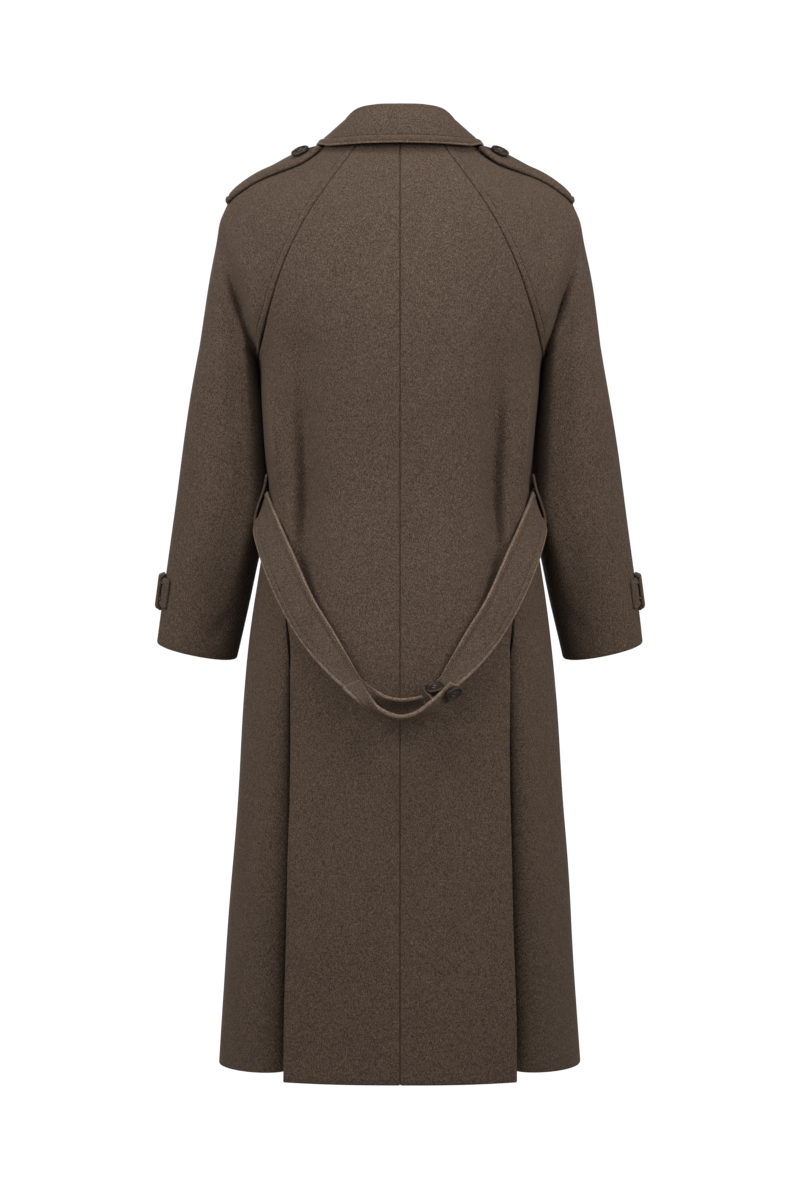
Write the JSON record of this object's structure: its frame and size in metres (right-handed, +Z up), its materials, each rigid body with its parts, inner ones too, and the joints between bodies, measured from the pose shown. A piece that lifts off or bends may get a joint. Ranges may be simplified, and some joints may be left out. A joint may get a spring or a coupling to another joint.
{
  "type": "wool coat",
  "caption": "Long wool coat with raglan sleeves, fold-down collar, shoulder and cuff straps, pleated back and a buttoned belt hanging low behind; open hollow form as worn.",
  "frame": {"origin": "middle of the neck, level with the neck points of the shoulders, where the coat hangs on its wearer", "axes": "+Z up along the coat's length, -Y towards the coat's front, +X towards the wearer's left"},
  "size_m": [0.6174, 0.3979, 1.1834],
  "materials": {
    "wool_melton": "matte fulled nap",
    "dark_horn": "satin"
  },
  "bodies": {
    "root": {"back_left": "wool_melton", "back_right": "wool_melton", "front_left": "wool_melton", "front_right": "wool_melton", "front_side_left": "wool_melton", "front_side_right": "wool_melton", "sleeve_back_left": "wool_melton", "sleeve_back_right": "wool_melton", "sleeve_front_left": "wool_melton", "sleeve_front_right": "wool_melton", "epaulette_left": "wool_melton", "epaulette_right": "wool_melton", "cuff_strap_left": "wool_melton", "cuff_strap_right": "wool_melton", "cuff_loop_left": "wool_melton", "cuff_loop_right": "wool_melton", "belt_loop_left": "wool_melton", "belt_loop_right": "wool_melton", "collar": "wool_melton", "belt_left": "wool_melton", "belt_right": "wool_melton", "belt_tab": "wool_melton", "epaulette_button_left": "dark_horn", "epaulette_button_right": "dark_horn", "belt_button_strap": "dark_horn", "belt_button_tab": "dark_horn", "front_button_1": "dark_horn", "front_button_2": "dark_horn", "front_button_3": "dark_horn", "front_button_4": "dark_horn", "front_button_5": "dark_horn"}
  },
  "joints": []
}
